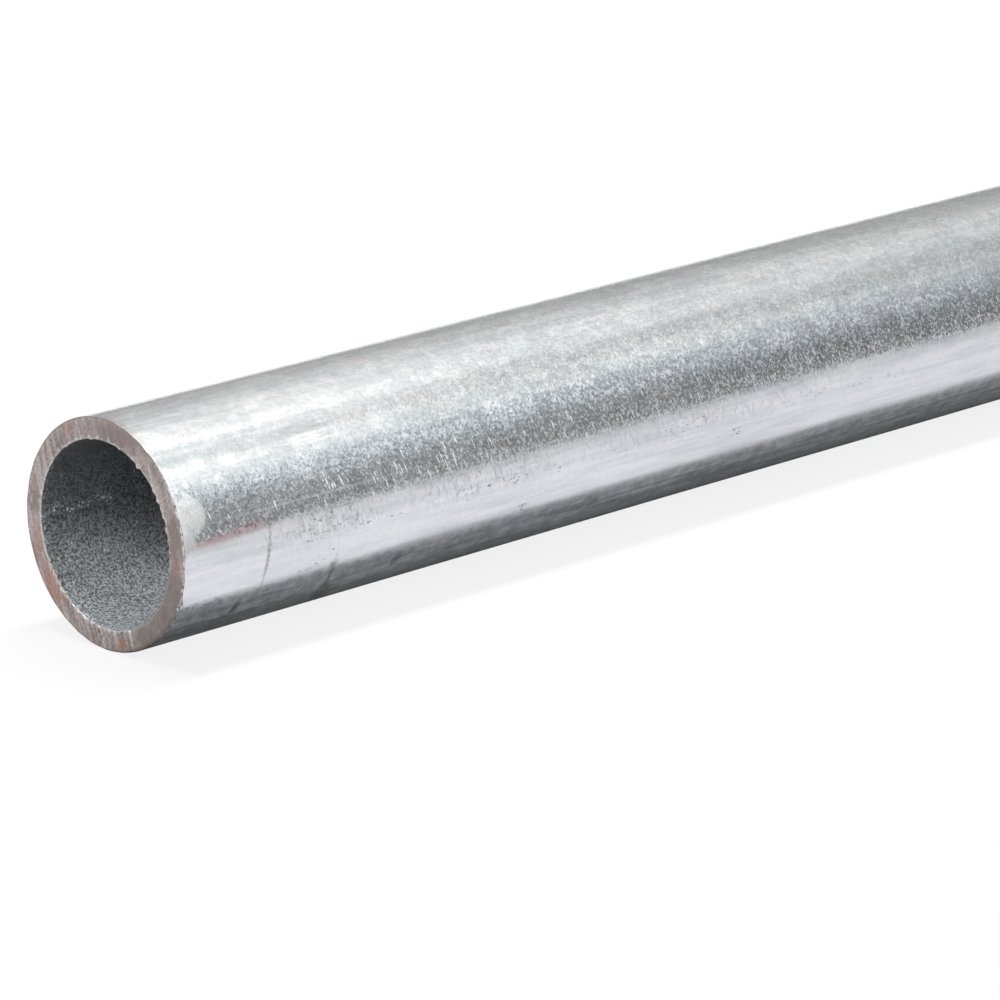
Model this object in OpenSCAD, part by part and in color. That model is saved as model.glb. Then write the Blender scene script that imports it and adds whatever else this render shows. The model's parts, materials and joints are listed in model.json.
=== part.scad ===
// Round welded steel tube, hot-dip galvanised, in a plain-ended cut length: raw stock for
// railings, racks and frames. It is one piece. It lies on a level surface, along X, and the
// origin is on that surface, under the middle of the tube.

/* [Tube] */
// Outside diameter
tube_d = 33.7; // [17:0.1:120]
// Wall thickness
wall_t = 3.2; // [1.8:0.1:6]
// Length from sawn face to sawn face
tube_l = 1000; // [100:50:6000]

/* [Sawn ends] */
// Chamfer that deburring leaves round the outer rim, at 45 degrees
rim_chamfer = 0.35; // [0.1:0.05:0.6]
// Chamfer round the mouth of the bore, at 45 degrees
mouth_chamfer = 0.2; // [0.1:0.05:0.6]

/* [Hidden] */
$fn = 128;
tube_r = tube_d / 2;
bore_r = tube_r - wall_t;
zinc = [0.72, 0.74, 0.75];

// Half of the wall's section, from the middle of the length (y = 0) to one sawn face.
// x is the distance from the tube's axis.
function half_section() = [
    [bore_r, tube_l / 2 - mouth_chamfer],
    [bore_r + mouth_chamfer, tube_l / 2],
    [tube_r - rim_chamfer, tube_l / 2],
    [tube_r, tube_l / 2 - rim_chamfer]
];

// The other half is the same one turned end for end.
function section() = concat(
    half_section(),
    [for (i = [3:-1:0]) [half_section()[i].x, -half_section()[i].y]]
);

module steel_tube() {
    color(zinc)
        translate([0, 0, tube_r])
            rotate([0, 90, 0])
                rotate_extrude()
                    polygon(section());
}

steel_tube();
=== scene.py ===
import json
import math

import bpy
import numpy as np
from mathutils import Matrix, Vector


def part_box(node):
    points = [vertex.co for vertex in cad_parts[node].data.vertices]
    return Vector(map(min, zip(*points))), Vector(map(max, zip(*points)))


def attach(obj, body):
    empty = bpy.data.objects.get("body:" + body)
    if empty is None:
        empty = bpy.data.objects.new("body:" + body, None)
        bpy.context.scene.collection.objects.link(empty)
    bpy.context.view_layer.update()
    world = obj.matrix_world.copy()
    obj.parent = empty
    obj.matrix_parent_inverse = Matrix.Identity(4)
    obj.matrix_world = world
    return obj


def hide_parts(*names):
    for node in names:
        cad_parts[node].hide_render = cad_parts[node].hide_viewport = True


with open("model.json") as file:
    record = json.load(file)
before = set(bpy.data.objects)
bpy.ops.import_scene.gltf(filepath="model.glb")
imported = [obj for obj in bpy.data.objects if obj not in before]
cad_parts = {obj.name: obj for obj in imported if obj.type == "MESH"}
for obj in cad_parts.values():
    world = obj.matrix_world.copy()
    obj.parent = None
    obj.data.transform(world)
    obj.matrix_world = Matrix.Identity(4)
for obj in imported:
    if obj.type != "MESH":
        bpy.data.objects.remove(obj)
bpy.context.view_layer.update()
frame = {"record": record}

mm = 0.001
tubeLow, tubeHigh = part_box("steel_tube")
boreMount = next(m for m in frame["record"]["mounts"] if m["name"] == "bore")
lengthMm = (tubeHigh.x - tubeLow.x) / mm
outerMm = (tubeHigh.z - tubeLow.z) / mm / 2
boreMm = boreMount["dims"]["r_mm"]
# Everything on the tube is placed from here: the middle of the sawn face that the camera looks at.
faceCentre = Vector((tubeLow.x, 0, tubeLow.z + outerMm * mm))


def linear(hexColour):
    # "#rrggbb" as it is given, turned into the numbers that light adds up in
    parts = [int(hexColour[i:i + 2], 16) / 255 for i in (1, 3, 5)]
    return tuple(p / 12.92 if p <= 0.04045 else ((p + 0.055) / 1.055) ** 2.4 for p in parts) + (1.0,)


def nodeAdder(tree):
    # empties the tree and gives the function that fills it
    tree.nodes.clear()

    def add(kind, settings=None, inputs=None, out=0):
        # a node with its settings, where a lone word is its operation; an input is a plain value or
        # the output that feeds it, and a list of them goes in the node's own order
        node = tree.nodes.new("ShaderNode" + kind)
        if isinstance(settings, str):
            settings = {"operation": settings}
        for name, value in (settings or {}).items():
            setattr(node, name, value)
        pairs = inputs.items() if isinstance(inputs, dict) else enumerate(inputs or [])
        for key, value in pairs:
            if isinstance(value, bpy.types.NodeSocket):
                tree.links.new(value, node.inputs[key])
            else:
                node.inputs[key].default_value = value
        return node.outputs[out] if node.outputs else node

    return add


# A MapRange's inputs are its value, the range that it comes from and the range that it goes to. With
# this setting it eases in and out of that range.
eased = {"interpolation_type": "SMOOTHSTEP"}


def newMaterial(name):
    material = bpy.data.materials.new(name)
    material.use_nodes = True
    return material, nodeAdder(material.node_tree)


def surfacePlace(add):
    # the place on the tube in mm: along from the sawn face, out to the front, up from the axis
    raw = add("TexCoord", out="Object")
    moved = add("VectorMath", "SUBTRACT", [raw, faceCentre])
    return add("VectorMath", "MULTIPLY", [moved, (1 / mm, -1 / mm, 1 / mm)])


def stretchedNoise(add, place, sizeMm, detail, roughness):
    # noise with one size along the tube and another across it
    along, across = sizeMm
    scaled = add("VectorMath", "MULTIPLY", [place, (1 / along, 1 / across, 1 / across)])
    return add("TexNoise", inputs={
        "Vector": scaled, "Scale": 1.0, "Detail": detail, "Roughness": roughness})


def awayFrom(add, value, middle):
    off = add("Math", "SUBTRACT", [value, middle])
    return add("Math", "ABSOLUTE", [off])


def layColours(add, colour, finish, layers):
    # each colour of the finish is laid over those before it, by its mask and its share
    for mask, name, share in layers:
        part = add("Math", "MULTIPLY", [mask, share])
        colour = add("Mix", {"data_type": "RGBA"}, {0: part, 6: colour, 7: linear(finish[name])}, out=2)
    return colour


def setSurface(add, colour, rough, metallic, normal):
    shader = add("BsdfPrincipled", inputs={
        "Base Color": colour, "Roughness": rough, "Metallic": metallic, "Normal": normal})
    add("OutputMaterial", inputs={"Surface": shader})


# The zinc skin was dipped, wiped and cooled. It mirrors softly, and its fine crystals tilt that mirror a
# few degrees each way, so they sparkle where a reflection turns from light to dark and hide elsewhere.
zincFinish = {
    "bright": "#e2e2e3",
    "dull": "#c2c7ca",
    "worn": "#eaeaec",
    "pit": "#5e5d61",
    "blotch": "#8f8c89",
    "roughness": 0.13,
    "cloudRoughness": 0.21,
    "wornRoughness": 0.60,
    "crystalMm": 0.33,
    "crystalTilt": 0.130,  # how far one crystal's face leans, as a slope
    "crystalTone": 0.55,
    "grainMm": (0.80, 0.95),  # the softer grain between them, along the tube and round it
    "grainDepthMm": 0.024,
    "wipedGrain": 0.16,  # how much of both is left on the front, which was wiped smoother
    "underGrain": 0.50,  # and on the underside
    "topGrain": 0.45,
    "cloudMm": (9.0, 3.4),
    "fleckMm": 1.9,
    "frostMm": 6.5,
    "lineMm": (38.0, 1.7),  # how far a draw line runs, and from one to the next
    "lineDepthMm": 0.012,
    "paintedFalloff": 0.06,  # painted shade: the zinc's colour is a little darker every so often along the tube, full at the sawn face
    "paintedFalloffMm": 620.0,
    "strokeMm": (0.42, 2.9),
    "strokeLean": 0.30,
    "strokePatchMm": 7.0,  # the strokes come in patches
    "gritMm": (0.36, 0.45),  # rubbed grains between the strokes
    "blotchMm": 2.632,
    "wobbleMm": 0.5,  # how the edges of the marks wander
    "rolledAt": (77.0, -38.0, -131.0),  # the lines it was rolled on, in degrees from the top
    "rolledHalf": 15.0,
    "speckMm": 0.60,
    "tickMm": (0.42, 1.235),
    "nick": "#9a979a",
    "grimeAndShade": "#6c726a",  # along the underside, in streaks, and as painted shade along its lowest strip
    "grimeMm": (15.0, 1.1),
    "drip": "#c0c1c0",
    "stain": "#b39d9d",
    "smear": "#d8c2b6",
    "scratch": "#8b8888",
    "gougeAndShade": "#4a4a4a",
    "rub": "#f4f4f5",
}
# Each mark is where it lies, in mm from the sawn face and degrees round from the top towards the front,
# and half its size along and round the tube in mm; then how far it leans and how strongly it shows.
zincMarks = {
    "drip": [
        {"at": (2.1, 70.0), "half": (2.65, 2.75)},
        {"at": (0.7, 78.0), "half": (1.5, 2.4)},
    ],
    "stain": [
        {"at": (0.2, 8.0), "half": (1.0, 4.0), "share": 0.6},
        {"at": (8.2, 84.0), "half": (7.8, 0.62), "tilt": -1.6},
        {"at": (12.0, 82.4), "half": (3.4, 0.55), "tilt": -1.3},
    ],
    "smear": [
        {"at": (57.4, 1.0), "half": (0.9, 0.5), "tilt": 20},
        {"at": (55.6, 4.0), "half": (0.7, 0.35), "tilt": 10},
    ],
    "scratch": [
        {"at": (15.8, 100.0), "half": (0.26, 4.8), "tilt": 2},
        {"at": (64.0, 97.6), "half": (0.35, 0.18), "tilt": 10},
    ],
    "gougeAndShade": [
        {"at": (29.4, 116.0), "half": (0.65, 0.7)},
        {"at": (29.7, 131.0), "half": (0.42, 5.0), "tilt": -2, "share": 0.85},
        {"at": (30.6, 142.0), "half": (1.5, 3.2), "tilt": -20},
        {"at": (12.2, 126.5), "half": (0.60, 1.4), "tilt": 5},
        {"at": (43.0, 127.0), "half": (0.90, 1.3), "tilt": 20, "share": 0.7},
        # this long dark band under the near end is painted shade
        {"at": (8.0, 139.0), "half": (14.0, 2.0), "share": 0.6},
    ],
    "rub": [
        {"at": (27.4, 46.2), "half": (3.4, 0.24), "tilt": -1},
        {"at": (26.6, 48.4), "half": (3.0, 0.26), "tilt": -1},
        {"at": (29.0, 50.4), "half": (2.4, 0.18), "tilt": -2},
    ],
    "scuffAndReflection": [
        # this long pale line along 76 degrees is a painted reflection
        {"at": (23.0, 76.0), "half": (19.0, 0.18), "share": 0.40},
        {"at": (52.0, 76.0), "half": (0.16, 1.8), "tilt": -14},
        {"at": (50.6, 74.0), "half": (0.14, 1.2), "tilt": -18},
        {"at": (27.6, 71.5), "half": (0.14, 1.3), "tilt": -16},
        {"at": (28.4, 73.0), "half": (0.12, 0.9), "tilt": -14},
        {"at": (19.5, 56.0), "half": (0.10, 1.4), "tilt": -6, "share": 0.6},
        {"at": (27.4, 53.0), "half": (0.09, 1.2), "tilt": -14, "share": 0.6},
    ],
    "busy": [
        {"at": (9.4, 78.5), "half": (1.0, 1.2)},
        {"at": (28.6, 77.0), "half": (2.2, 1.8)},
        {"at": (38.0, 78.0), "half": (2.2, 1.5)},
        {"at": (48.4, 79.0), "half": (1.2, 1.4)},
        {"at": (52.0, 76.0), "half": (2.0, 2.2)},
        {"at": (61.0, 77.0), "half": (3.0, 1.8)},
        {"at": (84.0, 80.0), "half": (9.0, 1.4)},
        {"at": (118.0, 79.0), "half": (26.0, 1.5), "share": 0.8},
    ],
    "nicked": [
        {"at": (28.0, 90.0), "half": (11.0, 2.6), "share": 0.9},
        {"at": (58.0, 90.5), "half": (15.0, 2.2), "share": 0.8},
        {"at": (105.0, 91.0), "half": (34.0, 2.2), "share": 0.5},
    ],
    "speckled": [
        {"at": (22.8, 97.6), "half": (2.2, 0.5)},
        {"at": (37.0, 96.5), "half": (4.8, 0.35), "share": 0.8},
        {"at": (28.0, 91.0), "half": (8.0, 2.3), "share": 0.55},
        {"at": (27.5, 105.0), "half": (2.2, 1.0), "share": 0.6},
        {"at": (10.0, 97.5), "half": (2.0, 0.4), "share": 0.5},
        {"at": (26.0, 113.0), "half": (4.0, 0.9), "share": 0.7},
        {"at": (4.0, 117.5), "half": (6.0, 0.7)},
        {"at": (60.0, 95.3), "half": (8.5, 0.55)},
        {"at": (73.0, 96.0), "half": (1.6, 0.8)},
        {"at": (66.8, 114.0), "half": (1.8, 1.0)},
        {"at": (87.0, 96.5), "half": (4.0, 0.5), "share": 0.6},
        {"at": (101.0, 93.0), "half": (5.5, 1.6), "share": 0.5},
        {"at": (111.4, 103.7), "half": (1.3, 0.9)},
        {"at": (128.0, 95.0), "half": (6.5, 1.0), "share": 0.45},
        {"at": (143.0, 96.5), "half": (8.0, 0.7), "share": 0.45},
    ],
}


def markMask(add, sheet, marks, soft):
    # 1 inside any of the marks and 0 outside, with an edge that is soft by that share of its size
    mask = None
    for mark in marks:
        along, degrees = mark["at"]
        place = add("Mapping", {"vector_type": "TEXTURE"}, {
            "Vector": sheet, "Location": (along, math.radians(degrees) * outerMm, 0),
            "Rotation": (0, 0, math.radians(mark.get("tilt", 0))), "Scale": (*mark["half"], 1)})
        away = add("VectorMath", "LENGTH", [place], out="Value")
        inside = add("MapRange", eased, [away, 1 + soft, 1 - soft, 0, mark.get("share", 1)])
        mask = inside if mask is None else add("Math", "MAXIMUM", [mask, inside])
    return mask


def hotDipZinc():
    finish = zincFinish
    material, add = newMaterial("hot_dip_zinc_wiped")
    place = surfacePlace(add)
    apart = add("SeparateXYZ", inputs=[place]).node.outputs
    angle = add("Math", "ARCTAN2", [apart["Y"], apart["Z"]])
    arc = add("Math", "MULTIPLY", [angle, outerMm])
    sheet = add("CombineXYZ", inputs={"X": apart["X"], "Y": arc})
    wobble = add("TexNoise", inputs={
        "Vector": place, "Scale": 1 / finish["wobbleMm"], "Detail": 2.0}, out="Color")
    shake = add("VectorMath", "MULTIPLY_ADD", [wobble, (0.5, 0.5, 0.5), (-0.25, -0.25, -0.25)])
    ragged = add("VectorMath", "ADD", [sheet, shake])

    # Crystals: each one's face leans its own way, and a softer grain lies between them.
    lower = add("MapRange", eased, [apart["Z"], 1.0, 3.4, finish["wipedGrain"], 1.0])
    below = add("MapRange", eased, [apart["Z"], -7.2, -9.5, 0, finish["underGrain"]])
    lower = add("Math", "MAXIMUM", [lower, below])
    smoothEnd = add("MapRange", eased, [
        apart["X"], 20.0, 75.0, finish["topGrain"] * 0.4, finish["topGrain"]])
    upper = add("MapRange", eased, [apart["Z"], 7.5, 10.8, 1.0, smoothEnd])
    share = add("Math", "MULTIPLY", [lower, upper])
    crystals = add("TexVoronoi", inputs={
        "Vector": place, "Scale": 1 / finish["crystalMm"], "Randomness": 1.0}, out="Color")
    crystalShade = add("SeparateColor", inputs=[crystals], out="Blue")
    lean = add("VectorMath", "SUBTRACT", [crystals, (0.5, 0.5, 0.5)])
    leanMost = add("Math", "MULTIPLY", [share, finish["crystalTilt"]])
    lean = add("VectorMath", "SCALE", {0: lean, "Scale": leanMost})
    facet = add("VectorMath", "ADD", [add("NewGeometry", out="Normal"), lean])
    facet = add("VectorMath", "NORMALIZE", [facet])
    grain = stretchedNoise(add, place, finish["grainMm"], 2.0, 0.62)
    depth = add("Math", "MULTIPLY", [share, finish["grainDepthMm"]])
    grainRelief = add("Math", "MULTIPLY", [grain, depth])

    # Clouds of slower-cooled zinc, a little duller.
    cloud = stretchedNoise(add, place, finish["cloudMm"], 6.0, 0.72)
    cloudy = add("MapRange", eased, [cloud, 0.35, 0.65])
    streaks = stretchedNoise(add, place, finish["grimeMm"], 4.0, 0.7)
    streaky = add("MapRange", eased, [streaks, 0.38, 0.62])
    upward = add("MapRange", eased, [apart["Z"], 1.0, 4.0])
    cloudy = add("Mix", inputs={0: upward, 2: streaky, 3: cloudy})

    # Flecks: the fine grey and white that the eye still sees where the reflection is even.
    flecks = add("TexNoise", inputs={
        "Vector": add("VectorMath", "MULTIPLY_ADD", [wobble, (1.2, 1.2, 1.2), place]),
        "Scale": 1 / finish["fleckMm"], "Detail": 4.0, "Roughness": 0.7})
    belowTone = add("MapRange", inputs=[flecks, 0.36, 0.64, 0.74, 1.36])
    frontTone = add("MapRange", inputs=[streaks, 0.36, 0.64, 0.95, 1.05])
    # frost: soft curled shapes where the zinc of the top froze in one go
    frost = add("TexNoise", inputs={
        "Vector": place, "Scale": 1 / finish["frostMm"], "Detail": 5.0, "Roughness": 0.55,
        "Distortion": 1.6})
    frost = add("MapRange", eased, [frost, 0.47, 0.56, 0.95, 1.05])
    aboveTone = add("MapRange", inputs=[flecks, 0.36, 0.64, 0.94, 1.06])
    aboveTone = add("Math", "MULTIPLY", [aboveTone, frost])
    aboveTone = add("Mix", inputs={0: upward, 2: frontTone, 3: aboveTone})
    underneath = add("MapRange", eased, [apart["Z"], -6.8, -8.6])
    fleckTone = add("Mix", inputs={0: underneath, 2: aboveTone, 3: belowTone})

    # Draw lines run the whole length, so their noise is stretched along it.
    lines = stretchedNoise(add, place, finish["lineMm"], 3.0, 0.6)
    lineRelief = add("Math", "MULTIPLY", [lines, finish["lineDepthMm"]])

    # Short strokes across the tube, where it was rolled over others: rough, so they mirror nothing and
    # show pale on a dark reflection and dark on a pale one.
    leaned = add("Math", "MULTIPLY_ADD", [apart["Z"], finish["strokeLean"], apart["X"]])
    strokePlace = add("CombineXYZ", inputs={"X": leaned, "Y": apart["Y"], "Z": apart["Z"]})
    wide, long = finish["strokeMm"]
    shaken = add("VectorMath", "MULTIPLY_ADD", [wobble, (0.3, 0.3, 0.3), strokePlace])
    shaken = add("VectorMath", "MULTIPLY", [shaken, (1 / wide, 1 / long, 1 / long)])
    cells = add("TexVoronoi", inputs={"Vector": shaken, "Scale": 1.0, "Randomness": 1.0})
    picked = add("SeparateColor", inputs=[cells.node.outputs["Color"]])
    rolled = None
    for degrees in finish["rolledAt"]:
        off = awayFrom(add, angle, math.radians(degrees))
        near = add("MapRange", eased, [off, math.radians(finish["rolledHalf"]), 0.0])
        rolled = near if rolled is None else add("Math", "MAXIMUM", [rolled, near])
    patches = add("TexNoise", inputs={
        "Vector": place, "Scale": 1 / finish["strokePatchMm"], "Detail": 2.0, "Roughness": 0.6})
    patchy = add("MapRange", inputs=[patches, 0.42, 0.60, 0.95, 0.36])
    busy = markMask(add, sheet, zincMarks["busy"], 0.7)
    chance = add("Mix", inputs={0: rolled, 2: 1.0, 3: patchy})
    chance = add("Mix", inputs={0: busy, 2: chance, 3: 0.15})
    here = add("Math", "GREATER_THAN", [picked, chance])
    core = add("MapRange", eased, [cells, 0.42, 0.16])
    stroke = add("Math", "MULTIPLY", [here, core])
    # grey nicks and a little dirt just below that line
    nicked = markMask(add, sheet, zincMarks["nicked"], 0.8)
    ticks = stretchedNoise(add, strokePlace, finish["tickMm"], 2.0, 0.6)
    nick = add("MapRange", eased, [ticks, 0.48, 0.66])
    dirt = add("MapRange", eased, [flecks, 0.46, 0.62, 0, 0.45])
    nick = add("Math", "MAXIMUM", [nick, dirt])
    nick = add("Math", "MULTIPLY", [nick, nicked])
    grit = stretchedNoise(add, strokePlace, finish["gritMm"], 2.0, 0.6)
    gritShare = add("MapRange", inputs=[rolled, 0, 1, 0.12, 0.50])
    gritty = add("MapRange", eased, [grit, 0.46, 0.66, 0, gritShare])
    broken = add("MapRange", eased, [grit, 0.32, 0.50])
    blotch = add("TexNoise", inputs={
        "Vector": place, "Scale": 1 / finish["blotchMm"], "Detail": 4.0, "Roughness": 0.6})
    blotch = add("MapRange", eased, [blotch, 0.46, 0.66, 0, rolled])
    # scuffs, and the painted reflection along 76 degrees
    scuffAndReflection = markMask(add, ragged, zincMarks["scuffAndReflection"], 0.8)
    stroke = add("Math", "MAXIMUM", [stroke, scuffAndReflection])
    stroke = add("Math", "MULTIPLY", [stroke, broken])
    # further along the strokes are fainter and the rubbed grains between them closer
    fainter = add("MapRange", inputs=[apart["X"], 50.0, 130.0, 0.86, 0.50])
    stroke = add("Math", "MULTIPLY", [stroke, fainter])
    closer = add("MapRange", inputs=[apart["X"], 50.0, 130.0, 0.80, 1.05])
    gritty = add("Math", "MULTIPLY", [gritty, closer])
    worn = add("Math", "MAXIMUM", [stroke, gritty])

    # Dark specks, mostly in the rows where dirt stuck.
    shaken = add("VectorMath", "MULTIPLY", [sheet, (0.60, 1.3, 1.0)])
    shaken = add("VectorMath", "MULTIPLY_ADD", [wobble, (0.4, 0.4, 0.4), shaken])
    specks = add("TexVoronoi", {"voronoi_dimensions": "2D"}, {
        "Vector": shaken, "Scale": 1 / finish["speckMm"], "Randomness": 1.0})
    speckPick = add("SeparateColor", inputs=[specks.node.outputs["Color"]], out="Green")
    speckled = markMask(add, sheet, zincMarks["speckled"], 0.6)
    speckChance = add("MapRange", inputs=[speckled, 0, 1, 0.9990, 0.50])
    speckHere = add("Math", "GREATER_THAN", [speckPick, speckChance])
    speckCore = add("MapRange", eased, [specks, 0.42, 0.14])
    speck = add("Math", "MULTIPLY", [speckHere, speckCore])
    # each has its own darkness, and the stray ones are faint
    speckDark = add("MapRange", inputs=[speckPick.node.outputs["Red"], 0, 1, 0.40, 1.0])
    stray = add("MapRange", inputs=[speckled, 0, 1, 0.25, 1.0])
    speckDark = add("Math", "MULTIPLY", [speckDark, stray])
    speck = add("Math", "MULTIPLY", [speck, speckDark])

    # Grime in long streaks along the underside, where the tube lay on others, and painted shade that
    # darkens the lowest strip, where the tube meets the board.
    under = add("MapRange", eased, [apart["Z"], -7.6, -10.6])
    grimeAndShade = add("MapRange", eased, [streaks, 0.42, 0.62, 0, under])
    # painted shade: the lowest strip of the underside is painted darker
    bottomShade = add("MapRange", eased, [apart["Z"], -11.0, -13.0, 0, 0.60])
    grimeAndShade = add("Math", "MAXIMUM", [grimeAndShade, bottomShade])

    drip = markMask(add, ragged, zincMarks["drip"], 0.16)
    curdled = add("MapRange", inputs=[grain, 0.35, 0.65, 0.72])
    drip = add("Math", "MULTIPLY", [drip, curdled])
    stain = markMask(add, ragged, zincMarks["stain"], 0.7)
    smear = markMask(add, ragged, zincMarks["smear"], 0.8)
    scratch = markMask(add, ragged, zincMarks["scratch"], 0.85)
    scratch = add("Math", "MULTIPLY", [scratch, broken])
    # gouges, and a band of painted shade under the near end
    gougeAndShade = markMask(add, ragged, zincMarks["gougeAndShade"], 0.7)
    uneven = add("MapRange", inputs=[flecks, 0.36, 0.58, 1.0, 0.60])
    gougeAndShade = add("Math", "MULTIPLY", [gougeAndShade, uneven])
    rub = markMask(add, ragged, zincMarks["rub"], 0.9)
    rub = add("Math", "MULTIPLY", [rub, broken])

    relief = add("Math", "ADD", [grainRelief, lineRelief])
    relief = add("Math", "MULTIPLY_ADD", [stroke, 0.010, relief])
    relief = add("Math", "MULTIPLY_ADD", [speck, -0.03, relief])
    normal = add("Bump", inputs={"Height": relief, "Distance": mm, "Strength": 1.0, "Normal": facet})

    tone = add("MapRange", inputs=[grain, 0.3, 0.7, 0, 0.20])
    lineTone = add("MapRange", eased, [lines, 0.44, 0.64, 0, 0.38])
    cloudTone = add("Math", "MULTIPLY_ADD", [cloudy, 0.6, tone])
    crystalTone = add("Math", "MULTIPLY", [share, finish["crystalTone"]])
    tone = add("Math", "MULTIPLY_ADD", [crystalShade, crystalTone, cloudTone])
    tone = add("Math", {"operation": "ADD", "use_clamp": True}, [tone, lineTone])
    colour = add("Mix", {"data_type": "RGBA"}, {
        0: tone, 6: linear(finish["bright"]), 7: linear(finish["dull"])}, out=2)
    # painted shade: the colour darkens away from the sawn face, in slow waves along the tube
    wave = add("Math", "MULTIPLY", [apart["X"], 2 * math.pi / finish["paintedFalloffMm"]])
    wave = add("Math", "COSINE", [wave])
    wave = add("MapRange", inputs=[wave, -1.0, 1.0, 1 - 2 * finish["paintedFalloff"], 1.0])
    colour = add("VectorMath", "SCALE", {0: colour, "Scale": wave})
    colour = add("VectorMath", "SCALE", {0: colour, "Scale": fleckTone})
    colour = add("VectorMath", "MINIMUM", [colour, (0.95, 0.95, 0.95)])
    colour = layColours(add, colour, finish, [
        (grimeAndShade, "grimeAndShade", 0.40), (blotch, "blotch", 0.45), (worn, "worn", 0.9), (speck, "pit", 0.92),
        (rub, "rub", 0.9), (smear, "smear", 0.6), (stain, "stain", 0.8), (scratch, "scratch", 0.8),
        (gougeAndShade, "gougeAndShade", 0.95), (nick, "nick", 0.75), (drip, "drip", 0.85)])

    rough = add("MapRange", inputs=[cloudy, 0, 1, finish["roughness"], finish["cloudRoughness"]])
    # it was wiped smoothest near the end
    wiped = add("MapRange", inputs=[apart["X"], 10.0, 55.0, 0.75, 1.0])
    rough = add("Math", "MULTIPLY", [rough, wiped])
    rough = add("Mix", inputs={0: worn, 2: rough, 3: finish["wornRoughness"]})
    rough = add("Mix", inputs={0: drip, 2: rough, 3: 0.50})
    metallic = add("MapRange", inputs=[drip, 0, 1, 1.0, 0.45])
    bare = add("MapRange", inputs=[worn, 0, 1, 1.0, 0.5])
    metallic = add("Math", "MULTIPLY", [metallic, bare])
    setSurface(add, colour, rough, metallic, normal)
    return material


# Inside, nobody wipes the zinc: it drained and froze as a coarse dull crust with a few crystals, whose
# glints are painted in as pale spots.
boreFinish = {
    "dark": "#3a3b3b",
    "light": "#858a8d",
    "crystalGlint": "#b9bdbd",
    "roughness": 0.55,
    "metal": 0.15,
    "crustMm": 0.36,
    "crustDepthMm": 0.07,
    "crystalMm": 0.588,
    "seamDegrees": -90.0,  # the tube's weld, which left a line of crystals; their glints are painted in as pale spots
    "chainAt": 8.0,  # the middle of that line, in mm from the sawn face
}


def hotDipZincCrust():
    finish = boreFinish
    material, add = newMaterial("hot_dip_zinc_unwiped")
    place = surfacePlace(add)
    crust = add("TexNoise", inputs={
        "Vector": place, "Scale": 1 / finish["crustMm"], "Detail": 3.0, "Roughness": 0.7})
    relief = add("Math", "MULTIPLY", [crust, finish["crustDepthMm"]])
    normal = add("Bump", inputs={"Height": relief, "Distance": mm, "Strength": 1.0})
    # painted shade: the crust is painted darker and plainer towards the top of the bore
    apart = add("SeparateXYZ", inputs=[place]).node.outputs
    topShade = add("MapRange", eased, [apart["Z"], 10.5, 1.5, 0.40, 1.0])
    shade = add("MapRange", eased, [crust, 0.36, 0.66, 0, topShade])
    colour = add("Mix", {"data_type": "RGBA"}, {
        0: shade, 6: linear(finish["dark"]), 7: linear(finish["light"])}, out=2)

    cells = add("TexVoronoi", inputs={
        "Vector": place, "Scale": 1 / finish["crystalMm"], "Randomness": 1.0})
    chosen = add("SeparateColor", inputs=[cells.node.outputs["Color"]])
    seam = math.radians(finish["seamDegrees"])
    seamPlace = (0, math.sin(seam) * boreMm, math.cos(seam) * boreMm)
    flat = add("VectorMath", "MULTIPLY", [place, (0, 1, 1)])
    away = add("VectorMath", "DISTANCE", [flat, seamPlace], out="Value")
    share = add("MapRange", eased, [away, 0.35, 0.9, 0.25, 0.985])
    # the chain of painted glints starts a little way in and ends where the light does
    ended = awayFrom(add, apart["X"], finish["chainAt"])
    ended = add("MapRange", eased, [ended, 3.8, 6.5, 0, 0.985])
    share = add("Math", "MAXIMUM", [share, ended])
    here = add("Math", "GREATER_THAN", [chosen, share])
    core = add("MapRange", eased, [cells, 0.46, 0.22])
    crystalGlint = add("Math", "MULTIPLY", [here, core])
    lone = add("MapRange", inputs=[away, 0.35, 0.9, 1.0, 0.55])
    crystalGlint = add("Math", "MULTIPLY", [crystalGlint, lone])
    colour = layColours(add, colour, finish, [(crystalGlint, "crystalGlint", 1.0)])
    metallic = add("MapRange", inputs=[crystalGlint, 0, 1, finish["metal"], 0.1])
    setSurface(add, colour, finish["roughness"], metallic, normal)
    return material


# The ends were cut on a band saw and left bare: fine ridges in the direction of the cut, a brown bloom
# of first rust, and redder patches where water stood.
sawnFinish = {
    "steel": "#8d8786",
    "bloom": "#5f5552",
    "rust": "#7a594b",
    # the broken step's colour, which also paints the shade on the rim
    "broken": "#3c3736",
    "flake": "#a9a7a7",
    "pit": "#3d3735",
    "roughness": 0.55,
    "ridgeMm": 0.40,  # from one tooth mark to the next
    "ridgeLongMm": 6.25,
    "ridgeDepthMm": 0.022,
    "gritMm": 0.4167,
    "gritDepthMm": 0.012,
    "cloudMm": 4.545,
    "wobbleMm": 1.111,  # how the edges of the spots wander
    "tornMm": 0.769,
    "cutLeans": -19.0,  # degrees from upright
    "mouthZinc": "#a9a9aa",
}
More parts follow.
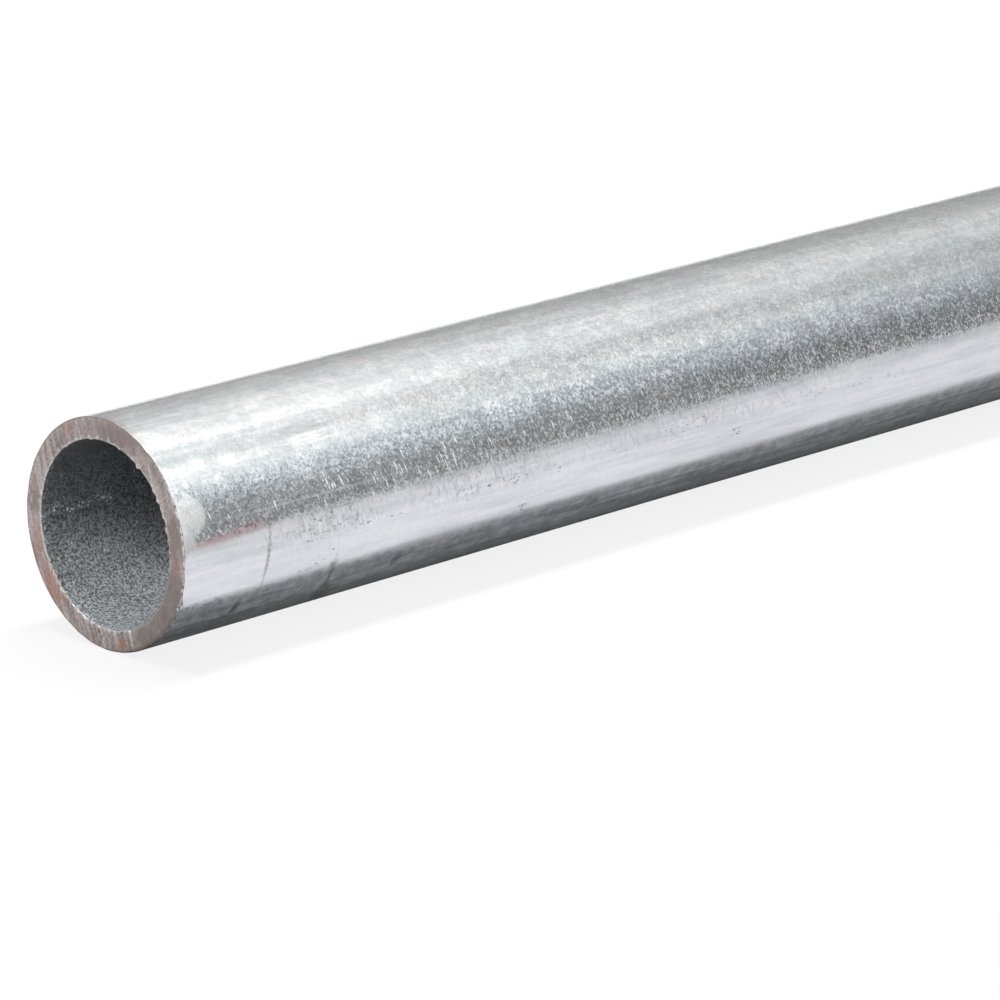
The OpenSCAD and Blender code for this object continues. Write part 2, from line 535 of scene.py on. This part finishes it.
# Each spot on the near face is where its middle lies, in mm out to the front and up from the axis, and
# half its size.
rustSpots = [
    {"at": (-11.5, -10.0), "half": (3.2, 4.5)},
    {"at": (-14.6, -4.0), "half": (1.2, 4.0)},
    {"at": (14.6, -1.2), "half": (0.9, 1.7)},
    {"at": (3.4, -15.3), "half": (1.4, 0.8)},
    {"at": (-7.6, 13.8), "half": (1.2, 1.0)},
]
bloomSpots = [
    {"at": (3.2, 15.0), "half": (7.0, 2.3)},
    {"at": (14.6, 2.6), "half": (2.0, 5.2)},
    {"at": (14.2, -5.0), "half": (2.6, 4.6)},
    {"at": (11.8, -9.6), "half": (3.6, 3.8)},
    {"at": (8.4, -13.2), "half": (3.6, 2.8)},
    {"at": (-8.6, 10.4), "half": (1.6, 2.4)},
    {"at": (-15.0, 2.0), "half": (1.2, 2.4)},
]
pitSpots = [
    {"at": (-1.6, -14.4), "half": (0.28, 0.32)},
    {"at": (-1.1, -15.2), "half": (0.26, 0.30)},
    {"at": (-1.2, -16.0), "half": (0.20, 0.34)},
    {"at": (12.4, -9.0), "half": (0.5, 0.7)},
]


def spotMask(add, place, spots, least, most):
    # 1 at the middle of each spot on the sawn face, fading to 0 at its rim
    flat = add("VectorMath", "MULTIPLY", [place, (0, 1, 1)])
    mask = None
    for spot in spots:
        inner = add("Mapping", {"vector_type": "TEXTURE"}, {
            "Vector": flat, "Location": (0, *spot["at"]), "Scale": (1, *spot["half"])})
        away = add("VectorMath", "LENGTH", [inner], out="Value")
        inside = add("MapRange", eased, [away, most, least])
        mask = inside if mask is None else add("Math", "MAXIMUM", [mask, inside])
    return mask


def sawnSteel():
    finish = sawnFinish
    material, add = newMaterial("band_sawn_mild_steel")
    place = surfacePlace(add)
    leaned = add("VectorRotate", {"rotation_type": "X_AXIS"}, {
        "Vector": place, "Angle": math.radians(finish["cutLeans"])})
    scaled = add("VectorMath", "MULTIPLY", [
        leaned, (0, 0.5 / finish["ridgeMm"], 1 / finish["ridgeLongMm"])])
    ridges = add("TexNoise", inputs={"Vector": scaled, "Scale": 1.0, "Detail": 4.0, "Roughness": 0.68})
    grit = add("TexNoise", inputs={"Vector": place, "Scale": 1 / finish["gritMm"], "Detail": 3.0})
    relief = add("Math", "MULTIPLY", [ridges, finish["ridgeDepthMm"] * 2])
    relief = add("Math", "MULTIPLY_ADD", [grit, finish["gritDepthMm"], relief])
    normal = add("Bump", inputs={"Height": relief, "Distance": mm, "Strength": 1.0})

    clouds = add("TexNoise", inputs={"Vector": place, "Scale": 1 / finish["cloudMm"], "Detail": 4.0})
    ridgeShade = add("MapRange", inputs=[ridges, 0.40, 0.60])
    cloudShade = add("MapRange", inputs=[clouds, 0.35, 0.65])
    mixed = add("Mix", inputs={0: 0.4, 2: ridgeShade, 3: cloudShade})
    gritShade = add("MapRange", inputs=[grit, 0.3, 0.7, -0.35, 0.35])
    mixed = add("Math", {"operation": "ADD", "use_clamp": True}, [mixed, gritShade])
    colour = add("Mix", {"data_type": "RGBA"}, {
        0: mixed, 6: linear(finish["bloom"]), 7: linear(finish["steel"])}, out=2)
    wobble = add("TexNoise", inputs={
        "Vector": place, "Scale": 1 / finish["wobbleMm"], "Detail": 3.0}, out="Color")
    wobble = add("VectorMath", "SUBTRACT", [wobble, (0.5, 0.5, 0.5)])
    shaken = add("VectorMath", "MULTIPLY_ADD", [wobble, (0, 3.5, 3.5), place])
    bloomed = spotMask(add, shaken, bloomSpots, 0.3, 1.3)
    rust = spotMask(add, shaken, rustSpots, 0.2, 1.3)
    streaked = add("MapRange", inputs=[ridges, 0.35, 0.65, 0.9, 0.25])
    rust = add("Math", "MULTIPLY", [rust, streaked])
    pits = spotMask(add, place, pitSpots, 0.5, 1.3)
    flat = add("VectorMath", "MULTIPLY", [place, (0, 1, 1)])
    fromAxis = add("VectorMath", "LENGTH", [flat], out="Value")
    torn = add("TexNoise", inputs={
        "Vector": place, "Scale": 1 / finish["tornMm"], "Detail": 4.0, "Roughness": 0.7})
    # the zinc of the bore shows as a pale torn edge round the mouth
    reach = add("MapRange", inputs=[torn, 0.36, 0.70, -0.25, 0.8])
    inner = add("Math", "SUBTRACT", [fromAxis, reach])
    inner = add("MapRange", eased, [inner, boreMm + 0.25, boreMm - 0.05])

    # below the plane of the cut: the broken step and the rounded rim, darker and dull; on the rim the
    # darker colour is painted shade
    apart = add("SeparateXYZ", inputs=[place]).node.outputs
    dirtAndShade = add("MapRange", inputs=[torn, 0.36, 0.64, 0.50, 0.92])
    sunkAndRimShade = add("MapRange", eased, [apart["X"], 0.02, 0.14, 0, dirtAndShade])
    # and the turned rim is painted darker still: painted shade along the edge
    rim = add("MapRange", eased, [fromAxis, outerMm - 0.5, outerMm - 0.1, 0, 0.8])
    sunkAndRimShade = add("Math", "MAXIMUM", [sunkAndRimShade, rim])
    # flakes of zinc that the saw pulled over the rim at the front
    front = add("MapRange", eased, [apart["Y"], 9.0, 15.0, 0.0, 0.5])
    edge = add("MapRange", inputs=[torn, 0.36, 0.70, outerMm + 0.1, outerMm - 0.5])
    flake = add("Math", "SUBTRACT", [fromAxis, edge])
    flake = add("MapRange", eased, [flake, -0.08, 0.12, 0, front])
    colour = layColours(add, colour, finish, [
        (bloomed, "bloom", 0.78), (rust, "rust", 1.0), (inner, "mouthZinc", 0.40),
        (pits, "pit", 0.6), (sunkAndRimShade, "broken", 1.0), (flake, "flake", 1.0)])
    rough = add("Mix", inputs={0: sunkAndRimShade, 2: finish["roughness"], 3: 0.8})
    metallic = add("Mix", inputs={0: sunkAndRimShade, 2: 0.8, 3: 0.3})
    setSurface(add, colour, rough, metallic, normal)
    return material


def smooth(low, high, value):
    t = np.clip((value - low) / (high - low), 0, 1)
    return t * t * (3 - 2 * t)


def ripple(along, angle, waveAlong, waveRound, seed, waves=24):
    # smooth random relief, about -1 to 1, that meets itself round the tube
    random = np.random.default_rng(seed)
    turnsMost = max(1, round(2 * math.pi * outerMm / waveRound))
    height = 0
    for _ in range(waves):
        turns = random.integers(-turnsMost, turnsMost + 1)
        pace = random.uniform(-1, 1) * 2 * math.pi / waveAlong
        height = height + np.cos(turns * angle + pace * along + random.uniform(0, 2 * math.pi))
    return height * math.sqrt(1 / waves)


def gradedSteps(first, growth, longest, half):
    # distances from a sawn face that grow towards the middle of the tube
    steps = [first]
    while steps[-1] < half:
        steps.append(steps[-1] + min(longest, 0.4 + growth * steps[-1]))
    steps = np.array(steps[:-1])
    return steps * (half / (steps[-1] + longest / 2))


# The tube's real shape, past what the plain section gives: all sizes in mm.
tubeShape = {
    "around": 320,
    "outerSteps": (0.6, 0.10, 14.0),  # from a sawn face: the first ring, how the gaps grow, the longest
    "boreSteps": (0.8, 0.06, 20.0),
    "swell": 0.025,  # long swells of the zinc
    "swellWave": (70.0, 30.0),  # their length along the tube and round it
    "lumps": 0.05,  # lumps of the crust in the bore
    "lumpWave": (5.0, 3.4),
    "rimRound": 0.28,
    "chatter": 0.05,  # how unevenly the saw left it
    "chatterWave": 3.0,
    "rimWorn": 0.75,  # more rounding at the low front of the near rim, where it was filed
    "rimWornAt": 138.0,
    "rimWornSpread": 24.0,
    "rimRings": 4,
    "faceRings": 8,
    "mouth": 0.10,
    "scallop": 0.15,  # teeth of zinc and burr round the mouth
    "scallopWave": 1.4,
    "raggedAt": ((-118.0, 26.0), (128.0, 24.0)),  # where the mouth is torn most, and for how far
    "burr": 0.42,
    "burrAt": (-140.0, -133.0, -129.0, -118.0),
    "sawMark": 0.012,  # waves that the blade left across the face
    "sawMarkWave": 2.7,
    "stepDepth": 0.20,  # where the last of the wall broke off at the end of the cut
    "stepAt": 5.4,
    "stepLean": 0.25,
    "drip": 0.05,  # the flat lump of zinc by the near rim
    "dripPast": 0.1,
    "weldHigh": 0.22,  # the bead along the bore
    "weldWide": 0.9,
}


def endRelief(angle, near):
    # for one end: how far its rim is rounded, and the radius of its mouth
    shape = tubeShape
    degrees = np.degrees(angle)
    seed = 11 if near else 12
    rim = shape["rimRound"] + shape["chatter"] * ripple(0 * angle, angle, 1, shape["chatterWave"], seed)
    teeth = ripple(0 * angle, angle, 1, shape["scallopWave"], seed + 10, waves=40)
    mouth = boreMm + shape["mouth"] + shape["scallop"] * 0.6 * teeth
    if near:
        worn = np.exp(-((degrees - shape["rimWornAt"]) / shape["rimWornSpread"]) ** 2)
        rim = rim + shape["rimWorn"] * worn
        front = smooth(5, 30, degrees) * (1 - smooth(100, 125, degrees))
        mouth = mouth + shape["scallop"] * front * teeth
        rim = rim - 0.10 * front
        for at, spread in shape["raggedAt"]:
            mouth = mouth + 1.3 * shape["scallop"] * np.exp(-((degrees - at) / spread) ** 2) * teeth
        for at in shape["burrAt"]:
            mouth = mouth - shape["burr"] * np.exp(-((degrees - at) / 1.3) ** 2)
    return np.maximum(rim, 0.12), np.maximum(mouth, boreMm - shape["burr"])


def endDepth(angle, radius, near):
    # how far the sawn face lies behind its plane, in mm
    shape = tubeShape
    front = np.sin(angle) * radius
    up = np.cos(angle) * radius
    lean = math.radians(sawnFinish["cutLeans"])
    across = front * math.cos(lean) + up * math.sin(lean)
    pace = 2 * math.pi / shape["sawMarkWave"]
    depth = shape["sawMark"] * (1 + np.sin(across * pace + 1.3 * np.sin(across * 0.8)))
    if near:
        edge = front - shape["stepAt"] - shape["stepLean"] * (-up - boreMm)
        gone = smooth(-0.3, 0.3, edge) * smooth(4.0, -11.0, up)
        depth = depth + shape["stepDepth"] * gone
    return depth


def dripHeight(along, degrees):
    # 1 on the lump of zinc, which reaches a little past its own colour, and 0 off it
    height = 0
    for mark in zincMarks["drip"]:
        alongAt, degreesAt = mark["at"]
        long, wide = (half + tubeShape["dripPast"] for half in mark["half"])
        off = np.radians(degrees - degreesAt) * outerMm
        away = np.hypot((along - alongAt) / long, off / wide)
        height = np.maximum(height, 1 - smooth(0.55, 1.05, away))
    return height


def tubeRings():
    # rings of the section in order: outside, far end, bore, near end; each has its zone
    shape = tubeShape
    angle = np.linspace(-math.pi, math.pi, shape["around"], endpoint=False)
    degrees = np.degrees(angle)
    rings = []

    def add(zone, along, radius):
        rings.append((zone, np.broadcast_to(along, angle.shape), np.broadcast_to(radius, angle.shape)))

    half = lengthMm / 2
    outerSteps = gradedSteps(*shape["outerSteps"], half)
    for along in [*outerSteps, half, *(lengthMm - outerSteps[::-1])]:
        swell = shape["swell"] * (ripple(along, angle, *shape["swellWave"], seed=3) - 1)
        add("outside", along, outerMm + swell + shape["drip"] * dripHeight(along, degrees))

    def addEnd(near):
        rim, mouth = endRelief(angle, near)
        ends = []
        for i in range(shape["rimRings"] + 1):
            turn = i / shape["rimRings"] * math.pi / 2
            radius = outerMm - rim * (1 - math.cos(turn))
            depth = rim * (1 - math.sin(turn)) + endDepth(angle, radius, near) * math.sin(turn)
            ends.append(("end", depth, radius))
        for i in range(1, shape["faceRings"] + 1):
            radius = (outerMm - rim) + (mouth - outerMm + rim) * i / shape["faceRings"]
            ends.append(("end", endDepth(angle, radius, near), radius))
        inner = np.minimum(mouth - 0.04, boreMm + 0.02)
        ends.append(("end", endDepth(angle, mouth, near) + shape["mouth"], inner))
        return ends

    for zone, depth, radius in addEnd(False):
        add(zone, lengthMm - depth, radius)
    boreSteps = gradedSteps(*shape["boreSteps"], half)
    fromSeam = angle - math.radians(boreFinish["seamDegrees"])
    weldOff = np.degrees(np.arcsin(np.sin(fromSeam)))
    weld = np.exp(-(weldOff / math.degrees(shape["weldWide"] / boreMm)) ** 2) * (np.cos(fromSeam) > 0)
    for along in [*(lengthMm - boreSteps), half, *boreSteps[::-1]]:
        lumps = shape["lumps"] * ripple(along, angle, *shape["lumpWave"], seed=5)
        settle = smooth(0, 3, min(along, lengthMm - along))
        add("bore", along, boreMm - shape["weldHigh"] * weld * settle - 0.02 + lumps * settle)
    for zone, depth, radius in reversed(addEnd(True)):
        add(zone, depth, radius)
    return angle, rings


def makeTube():
    angle, rings = tubeRings()
    along = np.array([r[1] for r in rings])
    radius = np.array([r[2] for r in rings])
    ringCount, around = along.shape
    points = np.stack([
        faceCentre.x + along * mm,
        faceCentre.y - radius * np.sin(angle) * mm,
        faceCentre.z + radius * np.cos(angle) * mm,
    ], -1).reshape(-1, 3)
    ring = np.arange(ringCount)[:, None]
    step = np.arange(around)[None, :]
    ringAfter = (ring + 1) % ringCount
    stepAfter = (step + 1) % around
    faces = np.stack([
        ring * around + step,
        ring * around + stepAfter,
        ringAfter * around + stepAfter,
        ringAfter * around + step,
    ], -1).reshape(-1, 4)
    mesh = bpy.data.meshes.new("galvanised_tube")
    mesh.from_pydata(points.tolist(), [], faces.tolist())
    zones = [r[0] for r in rings]
    slots = []
    for i in range(ringCount):
        both = {zones[i], zones[(i + 1) % ringCount]}
        slots.append(0 if "outside" in both else 1 if "bore" in both else 2)
    mesh.polygons.foreach_set("material_index", np.repeat(slots, around).astype(np.int32))
    mesh.polygons.foreach_set("use_smooth", np.ones(len(faces), bool))
    mesh.update()
    mesh.set_sharp_from_angle(angle=math.radians(38))
    makeMap(mesh, along, radius, angle, slots)
    tube = bpy.data.objects.new("galvanised_tube", mesh)
    bpy.context.scene.collection.objects.link(tube)
    for material in (hotDipZinc(), hotDipZincCrust(), sawnSteel()):
        mesh.materials.append(material)
    return tube


# The flat layout for baking, in shares of its width: twelve lengths of the outside in three rows, and
# below them the two ends and three lengths of the bore.
bakeMap = {
    "outsideHigh": 0.264,
    "lowHigh": 0.208,
    "endRadius": 0.098,
    "gap": 0.002,
    "boreEndMm": 60.0,  # each end of the bore gets a length of its own, where it can be seen
}


def makeMap(mesh, along, radius, angle, slots):
    ringCount, around = along.shape
    high, low, boreEnd = bakeMap["outsideHigh"], bakeMap["lowHigh"], bakeMap["boreEndMm"]
    spread = np.zeros((ringCount, around, 4, 2))
    start = along.mean(1)
    end = np.roll(start, -1)
    turn = np.arange(around + 1) / around
    cells = {}
    for i in range(ringCount):
        middle = (start[i] + end[i]) / 2
        if slots[i] == 0:
            k = min(11, int(middle / lengthMm * 12))
            cells.setdefault((0.25 * (k % 4), low + high * (k // 4), 0.25, high), []).append(i)
        elif slots[i] == 1:
            left, wide = 0.90, 0.10
            if middle < boreEnd:
                left, wide = 0.40, 0.25
            elif middle > lengthMm - boreEnd:
                left, wide = 0.65, 0.25
            cells.setdefault((left, 0.0, wide, low), []).append(i)
        else:
            # an end lies flat, as it is seen along the tube
            centre = 0.102 if middle < lengthMm / 2 else 0.302
            after = (i + 1) % ringCount
            for corner, ring, step in ((0, i, 0), (1, i, -1), (2, after, -1), (3, after, 0)):
                size = np.roll(radius[ring], step) * bakeMap["endRadius"] / outerMm
                turned = np.roll(angle, step)
                spread[i, :, corner, 0] = centre + size * np.sin(turned)
                spread[i, :, corner, 1] = low / 2 + size * np.cos(turned)
    gap = bakeMap["gap"]
    for (left, low, wide, high), rows in cells.items():
        first = min(min(start[i], end[i]) for i in rows)
        last = max(max(start[i], end[i]) for i in rows)
        for i in rows:
            for corner, at, steps in ((0, start, turn[:-1]), (1, start, turn[1:]),
                                      (2, end, turn[1:]), (3, end, turn[:-1])):
                share = (at[i] - first) / (last - first)
                spread[i, :, corner, 0] = left + gap + share * (wide - 2 * gap)
                spread[i, :, corner, 1] = low + gap + steps * (high - 2 * gap)
    layer = mesh.uv_layers.new(name="OFBake")
    layer.data.foreach_set("uv", spread.astype(np.float32).reshape(-1))


tube = makeTube()
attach(tube, "root")
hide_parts("steel_tube")
print("tube:", len(tube.data.polygons) * 2, "triangles")


# A broad pale board, dull enough to take a soft shadow and no shine, under a studio of soft light.
studio = {
    "floorSize": 60.0,
    "floor": "#f1f0f4",
    "sky": "#fcfcf9",
    "wall": "#ebeff2",  # cooler light from low in front
    "frontLow": 0.69,
    "frontHigh": 1.67,
    "backLow": 0.67,
    "backHigh": 1.49,
    "farFront": 0.50,  # share of the sky's light that is left past the tube's far end
    "farBack": 0.79,
    "horizon": 0.67,  # share of the sky's light left at the horizon
    "gapAt": 76.0,  # the gap between two panels overhead, in degrees up from the front
    "gapHalf": 20.0,
    "gapDim": (0.12, 0.24),  # how much less light it gives, near and far
    "fill": 0.40,  # what the sky adds to the board
    "seenHorizon": "#f8f8f9",
    "keyAt": (-0.30, 0.065, 1.60),
    "keySize": (1.20, 0.22),
    "keyWatts": 22.5,
    "stripAt": (-0.083, 0.03, 1.10),
    "stripSize": (0.80, 0.12),
    "stripWatts": 1.3,
    "windowSize": (0.7, 1.1),  # one for each of the tube's open ends; they light only the tube
    "nearWindow": (-1.70, -0.08, 0.92),
    "nearWatts": 80.0,
    "farWindow": (1.50, -0.15, 0.35),
    "farWatts": 18.0,
    "cardAway": 0.14,  # a dark card along the front, as is stood beside shiny metal
    "cardHigh": (0.080, 0.032),  # at its near and far end
    "cardFoot": 0.10,  # and its foot, which fades out just above the board
    "cardLies": 0.0006,
    "cardLight": (0.40, 0.26),
    "cardLine": (0.033, 0.004, 0.26),  # a paler fold along it: how high, how wide and how much lighter
    "shadowLift": 0.85,  # share of the board's shadow that is hidden from view
}


def sheetOf(name, corners, faces, material):
    mesh = bpy.data.meshes.new(name)
    mesh.from_pydata(corners, [], faces)
    mesh.materials.append(material)
    sheet = bpy.data.objects.new(name, mesh)
    bpy.context.scene.collection.objects.link(sheet)
    return sheet


def makeFloor():
    material, add = newMaterial("pale_matt_board")
    board = add("BsdfPrincipled", inputs={
        "Base Color": linear(studio["floor"]), "Roughness": 0.9, "Specular IOR Level": 0.0})
    # to the camera the board partly glows white: painted light that hides most of its shadow
    paintedGlow = add("Emission", inputs={"Color": linear("#ffffff"), "Strength": 1.0})
    seen = add("LightPath", out="Is Camera Ray")
    part = add("Math", "MULTIPLY", [seen, studio["shadowLift"]])
    both = add("MixShader", inputs=[part, board, paintedGlow])
    add("OutputMaterial", inputs={"Surface": both})
    size = studio["floorSize"] / 2
    z = tubeLow.z
    sheetOf("floor", [(-size, -size, z), (size, -size, z), (size, size, z), (-size, size, z)],
            [(0, 1, 2, 3)], material)


def makeCard():
    # it shows in the zinc only: the camera does not see it, and it throws no shadow
    material, add = newMaterial("dark_card")
    y = -studio["cardAway"]
    foot = y + studio["cardFoot"]
    clear = add("BsdfTransparent")
    place = add("SeparateXYZ", inputs=[add("TexCoord", out="Object")]).node.outputs
    fade = add("MapRange", inputs=[place["Y"], y, foot, 0.55, 1.0])
    lies = add("Math", "LESS_THAN", [place["Z"], tubeLow.z + studio["cardLies"] + 0.0002])
    near, far = studio["cardLight"]
    base = add("MapRange", inputs=[place["X"], tubeLow.x + 0.11, tubeLow.x + 0.29, near, far])
    lineAt, lineWide, lineMore = studio["cardLine"]
    off = awayFrom(add, place["Z"], tubeLow.z + lineAt)
    line = add("MapRange", eased, [off, lineWide, 0.0, 0, lineMore])
    light = add("Math", "ADD", [base, line])
    glow = add("Emission", inputs={"Color": linear("#ffffff"), "Strength": light})
    fade = add("Math", "MULTIPLY", [fade, lies])
    both = add("MixShader", inputs=[fade, glow, clear])
    add("OutputMaterial", inputs={"Surface": both})
    low = tubeLow.z + studio["cardLies"]
    nearHigh, farHigh = (tubeLow.z + high for high in studio["cardHigh"])
    left, right = tubeLow.x - 0.3, tubeHigh.x + 0.3
    corners = [(left, foot, low), (right, foot, low), (left, y, low), (right, y, low),
               (left, y, nearHigh), (right, y, farHigh)]
    card = sheetOf("dark_card", corners, [(0, 1, 3, 2), (2, 3, 5, 4)], material)
    card.visible_camera = False
    card.visible_diffuse = False
    card.visible_shadow = False
    card.visible_transmission = False


def makeWorld():
    # a pale sky that darkens towards the horizon, more in front than behind
    world = bpy.data.worlds.new("studio")
    bpy.context.scene.world = world
    world.use_nodes = True
    world.cycles.sampling_method = "NONE"
    add = nodeAdder(world.node_tree)
    towards = add("SeparateXYZ", inputs=[add("TexCoord", out="Generated")]).node.outputs
    behind = add("MapRange", eased, [towards["Y"], -0.15, 0.15])
    front = add("MapRange", inputs=[towards["Z"], 0.20, 0.57, studio["frontLow"], studio["frontHigh"]])
    back = add("MapRange", eased, [towards["Z"], 0.27, 0.88, studio["backLow"], studio["backHigh"]])
    light = add("Mix", inputs={0: behind, 2: front, 3: back})
    left = add("Mix", inputs={0: behind, 2: studio["farFront"], 3: studio["farBack"]})
    ends = add("MapRange", eased, [towards["X"], 0.60, 0.74, 1.0, left])
    light = add("Math", "MULTIPLY", [light, ends])
    haze = add("MapRange", inputs=[towards["Z"], 0.0, 0.30, studio["horizon"], 1.0])
    light = add("Math", "MULTIPLY", [light, haze])
    forward = add("Math", "MULTIPLY", [towards["Y"], -1.0])
    turn = add("Math", "ARCTAN2", [towards["Z"], forward])
    off = awayFrom(add, turn, math.radians(studio["gapAt"]))
    near, far = studio["gapDim"]
    dim = add("MapRange", eased, [towards["X"], 0.63, 0.67, 1 - near, 1 - far])
    gap = add("MapRange", eased, [off, 0.0, math.radians(studio["gapHalf"]), dim, 1.0])
    light = add("Math", "MULTIPLY", [light, gap])
    ray = add("LightPath").node.outputs
    high = add("MapRange", eased, [towards["Z"], 0.40, 0.80])
    high = add("Math", "MAXIMUM", [high, behind])
    high = add("Math", "MAXIMUM", [high, ray["Is Diffuse Ray"]])
    tint = add("Mix", {"data_type": "RGBA"}, {
        0: high, 6: linear(studio["wall"]), 7: linear(studio["sky"])}, out=2)
    light = add("Mix", inputs={0: ray["Is Diffuse Ray"], 2: light, 3: studio["fill"]})
    glow = add("Background", inputs={"Color": tint, "Strength": light})
    plain = add("Background", inputs={"Color": linear(studio["seenHorizon"]), "Strength": 1.0})
    both = add("MixShader", inputs=[ray["Is Camera Ray"], glow, plain])
    add("OutputWorld", inputs={"Surface": both})


def makeLamp(name, at, size, watts):
    lamp = bpy.data.lights.new(name, "AREA")
    lamp.shape = "RECTANGLE"
    lamp.size, lamp.size_y = size
    lamp.energy = watts
    holder = bpy.data.objects.new(name, lamp)
    holder.location = Vector(at) + Vector((0, 0, tubeLow.z))
    bpy.context.scene.collection.objects.link(holder)
    return holder


def makeLights():
    # the softbox lights the board, and a dimmer strip is what the zinc mirrors of it
    key = makeLamp("overhead_softbox", studio["keyAt"], studio["keySize"], studio["keyWatts"])
    key.visible_glossy = False
    strip = makeLamp("overhead_strip", studio["stripAt"], studio["stripSize"], studio["stripWatts"])
    strip.visible_diffuse = False
    lit = bpy.data.collections.new("lit_by_windows")
    lit.objects.link(tube)
    farCentre = faceCentre + Vector((lengthMm * mm, 0, 0))
    for end, middle in (("near", faceCentre), ("far", farCentre)):
        place, watts = studio[end + "Window"], studio[end + "Watts"]
        window = makeLamp(end + "_window", place, studio["windowSize"], watts)
        window.rotation_mode = "QUATERNION"
        window.rotation_quaternion = (middle - window.location).to_track_quat("-Z", "Y")
        window.light_linking.receiver_collection = lit
        window.visible_glossy = end == "near"


# The camera looks down along the tube from past the sawn end, through a long lens.
camera = {
    "lens": 193.04,
    "azimuth": -44.533,
    "elevation": 16.816,
    "away": 0.80103,
    "aimAlongMm": 77.27,  # the point it looks at, from the sawn face
    "aimBelowMm": 11.24,  # and below the tube's axis
}


def makeCamera():
    data = bpy.data.cameras.new("camera")
    data.lens = camera["lens"]
    data.sensor_width = 36
    data.clip_start = 0.01
    data.clip_end = 200
    shot = bpy.data.objects.new("camera", data)
    azimuth = math.radians(camera["azimuth"])
    elevation = math.radians(camera["elevation"])
    back = Vector((
        math.sin(azimuth) * math.cos(elevation),
        -math.cos(azimuth) * math.cos(elevation),
        math.sin(elevation),
    ))
    aim = faceCentre + Vector((camera["aimAlongMm"], 0, -camera["aimBelowMm"])) * mm
    shot.location = aim + back * camera["away"]
    shot.rotation_mode = "QUATERNION"
    shot.rotation_quaternion = (-back).to_track_quat("-Z", "Y")
    bpy.context.scene.collection.objects.link(shot)
    bpy.context.scene.camera = shot


makeFloor()
makeCard()
makeWorld()
makeLights()
makeCamera()
bpy.context.scene.view_settings.view_transform = "Standard"
print("studio: floor, world, softbox and camera")
